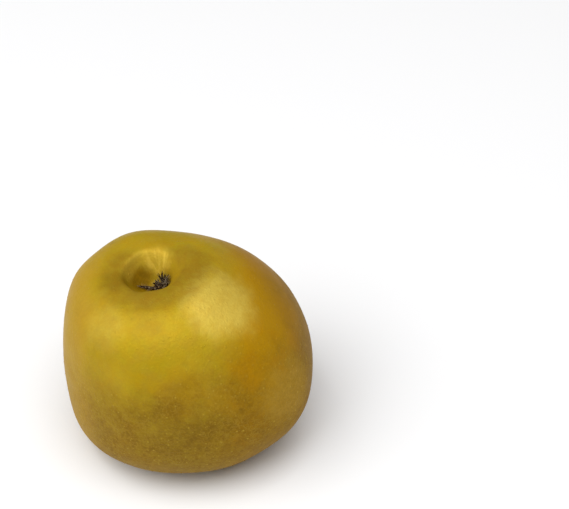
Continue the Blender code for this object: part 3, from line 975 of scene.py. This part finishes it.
def add_sliver(form, sepal, spread, sliver, draw):
    """One withered sliver of a sepal: cupped, crinkled and ragged, with its tip curled."""
    direction, twist = sepal[0], sepal[-1]
    start, reach, width, splay = sliver
    sideways = facing(math.radians(direction) + math.pi / 2)
    seed = draw.uniform(0, NOISE_RANGE)
    twist = twist + draw.uniform(-SLIVER_TWIST, SLIVER_TWIST)
    splay = splay + draw.uniform(-SLIVER_SPLAY, SLIVER_SPLAY)
    wave = draw.uniform(*SLIVER_WAVE)
    uneven, uneven_waves = UNEVEN
    rings = []
    for row in range(SEPAL_LENGTHWISE + 1):
        amount = row / SEPAL_LENGTHWISE
        along = sepal_heading(sepal, amount * reach)
        across = Matrix.Rotation(twist * amount, 3, along) @ sideways
        face = across.cross(along).normalized()
        aside = start * SLIVER_START * (1 - SLIVER_CLOSING * amount) + splay * amount**1.5
        middle = sepal_place(sepal, amount * reach) + sideways * aside * spread
        middle = middle + face * wave * math.sin(seed + amount * SLIVER_WAVES) * amount
        half = width / 2 * max(1 - amount**SLIVER_TAPER, 0.0) * (0.5 + 0.5 * spread) + SLIVER_TIP
        half *= 1 + uneven * noise.noise(Vector((seed, amount * uneven_waves, 0)))
        rings.append(sliver_section(middle, across, face, half, amount, seed))
    add_rings(form, rings)


def add_torn_ring(form, draw):
    """Dried rim of flesh round the tube, lumpy and sunk a little into the skin."""
    seed = draw.uniform(0, NOISE_RANGE)
    wide_lumps, wide_waves = RING_LUMPS_WIDE
    tall_lumps, tall_waves = RING_LUMPS_TALL
    rings = []
    for step in range(RING_AROUND):
        outward = facing(2 * math.pi * step / RING_AROUND)
        wide = RING_WIDTH * (1 + wide_lumps * lump(outward, wide_waves, seed))
        tall = RING_TALL * (1 + tall_lumps * lump(outward, tall_waves, seed + 9))
        ring = []
        for part in range(RING_SECTION):
            turn = 2 * math.pi * part / RING_SECTION
            radius = RING_RADIUS - RING_INWARD + wide * math.cos(turn)
            ring.append(outward * radius + Vector((0, 0, RING_LIFT + tall * math.sin(turn))))
        rings.append(ring)
    add_rings(form, rings, looped=True)


def sepal_finish():
    """Withered sepals: nearly black brown, greyer in streaks where they catch dust."""
    finish = Finish("withered_sepal", SEPAL_GLOSS)
    streak = finish.cloud(finish.place, *SEPAL_STREAKS)
    grain = finish.cloud(finish.place, *SEPAL_GRAIN)
    dusty = finish.step(streak, *DUST_LEVELS)
    colour = finish.mixed(dusty * DUST_TINT, WITHERED, WITHERED_EDGE)
    relief = streak * STREAK_RELIEF + grain * SEPAL_GRAIN_RELIEF
    return finish.dress(colour, between(SEPAL_ROUGHNESS, grain), relief, SEPAL_BUMP)


def down_finish():
    """Dry grey down."""
    finish = Finish("sepal_down", SEPAL_GLOSS)
    change = finish.cloud(finish.place, *DOWN_CHANGE)
    colour = finish.mixed(change, WITHERED_EDGE, DOWN_GREY)
    return finish.dress(colour, between(DOWN_ROUGHNESS, change), change, DOWN_BUMP)


def make_sepals():
    """Five withered sepals in slivers, on their torn ring."""
    draw = random.Random(SEPAL_SEED)
    form = bmesh.new()
    add_torn_ring(form, draw)
    for sepal, spread in zip(SEPALS, SEPAL_SPREADS):
        for sliver in SLIVERS:
            add_sliver(form, sepal, spread, sliver, draw)
    bmesh.ops.transform(form, matrix=frame_at(EYE, EYE_OUT), verts=form.verts)
    sepals = from_form("sepal_slivers", form)
    sepals.data.materials.append(sepal_finish())
    standing_for(sepals, "sepals")
    return sepals


def make_down(sepals):
    """Fine hairs that stand off the sepals."""
    down = linked("sepal_hairs", sepals.data)
    growth = Growth("down_growth", {"Length": DOWN_LENGTH, "Radius": DOWN_RADIUS,
                                    "Density": float(DOWN_DENSITY), "Seed": DOWN_SEED})
    points, rotation = growth.strewn("RANDOM", {"Density": growth.given("Density")})
    hair = growth.shaped("GeometryNodeMeshCone",
                         {"Vertices": 3, "Side Segments": 1, "Radius Top": 0.0,
                          "Radius Bottom": growth.given("Radius"), "Depth": growth.given("Length")})
    lean = growth.drawn((-DOWN_LEAN, -DOWN_LEAN, 0.0), (DOWN_LEAN, DOWN_LEAN, HALF_TURN),
                        DOWN_LEAN_SEED)
    turned = growth.value("FunctionNodeRotateRotation", 0, {"rotation_space": "LOCAL"},
                          {0: rotation, 1: lean})
    hairs = growth.copied(hair, points, turned, growth.drawn(*DOWN_SIZES, DOWN_SIZE_SEED))
    growth.end(hairs, down_finish())
    growth.apply(down)
    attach(down, BODY)


def stamen_finish():
    """Dry brown stamens, paler in places."""
    finish = Finish("dried_stamen", STAMEN_GLOSS)
    change = finish.cloud(finish.place, *STAMEN_CHANGE)
    colour = finish.mixed(finish.step(change, *STAMEN_LEVELS), STAMEN_BROWN, STAMEN_PALE)
    return finish.dress(colour, between(STAMEN_ROUGHNESS, change), change, STAMEN_BUMP)


def one_stamen(growth):
    """A thread with its anther on top, upright from the origin."""
    top = growth.value("ShaderNodeCombineXYZ", 0, None, {2: growth.given("Length")})
    line = growth.shaped("GeometryNodeCurvePrimitiveLine", {"Start": (0, 0, 0), "End": top})
    fine = growth.shaped("GeometryNodeResampleCurve", {"Curve": line, "Count": FILAMENT_POINTS})
    section = growth.shaped("GeometryNodeCurvePrimitiveCircle",
                            {"Resolution": FILAMENT_SIDES, "Radius": growth.given("Filament radius")})
    thread = growth.shaped("GeometryNodeCurveToMesh",
                           {"Curve": fine, "Profile Curve": section, "Fill Caps": True})
    bead = growth.shaped("GeometryNodeMeshUVSphere",
                         {"Segments": ANTHER_SEGMENTS, "Rings": ANTHER_RINGS,
                          "Radius": growth.given("Anther radius")})
    anther = growth.shaped("GeometryNodeTransform",
                           {"Geometry": bead, "Translation": top, "Scale": ANTHER_SHAPE})
    return growth.joined(thread, anther)


def bent_tuft(growth):
    """A ring of stamens, each leaning its own way and bent by a slow noise."""
    ring = growth.shaped("GeometryNodeMeshCircle",
                         {"Vertices": growth.given("Filaments"), "Radius": TUFT_RADIUS})
    lean = growth.drawn((-STAMEN_LEAN, -STAMEN_LEAN, -HALF_TURN), (STAMEN_LEAN, STAMEN_LEAN, HALF_TURN),
                        STAMEN_LEAN_SEED)
    sizes = growth.drawn(*STAMEN_SIZES, STAMEN_SIZE_SEED)
    tuft = growth.copied(one_stamen(growth), ring, lean, sizes)
    whole = growth.shaped("GeometryNodeRealizeInstances", {"Geometry": tuft})
    place = growth.position()
    wander = growth.value("ShaderNodeTexNoise", 1, None,
                          {"Vector": place, "Scale": STAMEN_BENDS, "Detail": 1.0})
    centred = growth.vector("SUBTRACT", wander, (0.5, 0.5, 0.5))
    bend = growth.vector("MULTIPLY", centred, growth.coordinate(place, 2) * STAMEN_BEND)
    return growth.shaped("GeometryNodeSetPosition", {"Geometry": whole, "Offset": bend})


def make_stamens():
    """Tuft of shrivelled stamens round the style, grown on a pad in the tube."""
    form = bmesh.new()
    bmesh.ops.create_uvsphere(form, u_segments=PAD_SEGMENTS, v_segments=PAD_RINGS, radius=1.0)
    bmesh.ops.scale(form, vec=(PAD_RADIUS, PAD_RADIUS, PAD_HEIGHT), verts=form.verts)
    stamens = from_form("stamen_tuft", form)
    growth = Growth("stamen_growth", {"Filaments": FILAMENTS, "Length": FILAMENT_LENGTH,
                                      "Filament radius": FILAMENT_RADIUS, "Anther radius": ANTHER_RADIUS})
    tuft = bent_tuft(growth)
    style = growth.shaped("GeometryNodeMeshCone",
                          {"Vertices": STYLE_SIDES, "Side Segments": STYLE_ROWS,
                           "Radius Top": STYLE_RADIUS * STYLE_TAPER,
                           "Radius Bottom": STYLE_RADIUS, "Depth": FILAMENT_LENGTH})
    growth.end(growth.joined(growth.given("Geometry"), tuft, style), stamen_finish())
    growth.apply(stamens)
    placed = frame_at(EYE, EYE_OUT) @ Matrix.Translation((0, 0, TUFT_FLOOR))
    stamens.data.transform(placed)
    stamens.data.shade_smooth()
    standing_for(stamens, "stamens")


def stalk_finish():
    """Brown bark with fibres along it and grey patches."""
    finish = Finish("stalk_bark", BARK_GLOSS)
    fibre = finish.cloud(finish.place, *BARK_FIBRE)
    grey = finish.step(fibre, *FIBRE_LEVELS) * FIBRE_TINT
    grey = grey + finish.pattern(finish.place, BARK_PATCHES) * BARK_PATCH_TINT
    colour = finish.mixed(grey, BARK, BARK_GREY)
    return finish.dress(colour, between(BARK_ROUGHNESS, fibre), fibre, BARK_BUMP)


def stalk_radius(share):
    """Radius at a share of the stalk's length: it swells to the knob and rounds off at the scar."""
    radius = between((STALK_RADIUS, STALK_KNOB), share**4)
    if share > STALK_SHOULDER:
        past = (share - STALK_SHOULDER) / STALK_ROUNDING
        radius *= math.sqrt(max(1 - past**2, STALK_SCAR))
    return radius


def make_stalk():
    """Short woody stalk with ridged bark, a slight bend and the scar on its knob."""
    ridge_depth, ridges_round, ridges_along = RIDGES
    wart_depth, warts_round, warts_along = WARTS
    rings = []
    for row in range(STALK_ROWS + 1):
        height = between((STALK_ROOT, STALK_LENGTH), row / STALK_ROWS)
        share = max(height, 0) / STALK_LENGTH
        centre = Vector((STALK_BEND[0] * share**2, STALK_BEND[1] * share, height))
        ring = []
        for side in range(STALK_SIDES):
            outward = facing(2 * math.pi * side / STALK_SIDES)
            bark = BARK_SHARE + ridge_depth * lump(outward, ridges_round, height * ridges_along)
            bark += wart_depth * lump(outward, warts_round, height * warts_along)
            ring.append(centre + outward * stalk_radius(share) * bark)
        rings.append(ring)
    form = bmesh.new()
    add_rings(form, rings)
    bmesh.ops.transform(form, matrix=frame_at(HOLLOW, HOLLOW_OUT), verts=form.verts)
    stalk = from_form("stalk_bark", form)
    stalk.data.materials.append(stalk_finish())
    standing_for(stalk, "stalk")


def make_camera():
    lens = bpy.data.cameras.new("camera")
    lens.sensor_width = SENSOR_WIDTH
    lens.lens = LENS
    lens.clip_start = CLIP_START
    lens.clip_end = CLIP_END
    camera = linked("camera", lens)
    camera.location = CAMERA_PLACE
    camera.rotation_euler = (math.radians(90 - CAMERA_ELEVATION), 0, 0)
    bpy.context.scene.camera = camera


def make_light(name, azimuth, elevation, distance, size, power):
    """Square soft light aimed at the apple from a direction in degrees, 0 being +X."""
    lamp = bpy.data.lights.new(name, "AREA")
    lamp.shape = "SQUARE"
    lamp.size = size
    lamp.energy = power
    light = linked(name, lamp)
    turn, rise = math.radians(azimuth), math.radians(elevation)
    towards = Vector((math.cos(rise) * math.cos(turn), math.cos(rise) * math.sin(turn), math.sin(rise)))
    light.location = LIGHT_AIM + towards * distance
    light.rotation_euler = (-towards).to_track_quat("-Z", "Y").to_euler()


def make_floor():
    """Wide pale floor, just under the fruit."""
    form = bmesh.new()
    bmesh.ops.create_circle(form, cap_ends=True, segments=FLOOR_SIDES, radius=FLOOR_RADIUS)
    bmesh.ops.translate(form, vec=(0, 0, -FLOOR_DROP), verts=form.verts)
    floor = from_form("floor", form)
    finish = Finish("pale_floor", FLOOR_GLOSS)
    change = finish.cloud(finish.place, *FLOOR_CHANGE)
    colour = finish.mixed(change * FLOOR_TINT, FLOOR_WHITE, FLOOR_GREY)
    floor.data.materials.append(finish.dress(colour, FLOOR_ROUGHNESS, change, FLOOR_BUMP))


def make_air():
    """White air all round, dimmer as light than as it is seen."""
    world = bpy.data.worlds.new("studio")
    bpy.context.scene.world = world
    world.use_nodes = True
    air = Graph(world.node_tree)
    seen = air.value("ShaderNodeLightPath", "Is Camera Ray")
    backdrop = world.node_tree.nodes["Background"]
    backdrop.inputs["Color"].default_value = AIR_WHITE
    air.feed(backdrop.inputs["Strength"], between((AIR_LIGHT, AIR_SEEN), seen))


def make_studio():
    """Plain pale floor, a soft light overhead, one from high on the left, and pale air."""
    make_floor()
    for light in LIGHTS:
        make_light(*light)
    make_air()
    bpy.context.scene.view_settings.view_transform = "Standard"


make_camera()
make_studio()
skin = make_skin()
make_lenticels(skin)
sepals = make_sepals()
make_down(sepals)
make_stamens()
make_stalk()
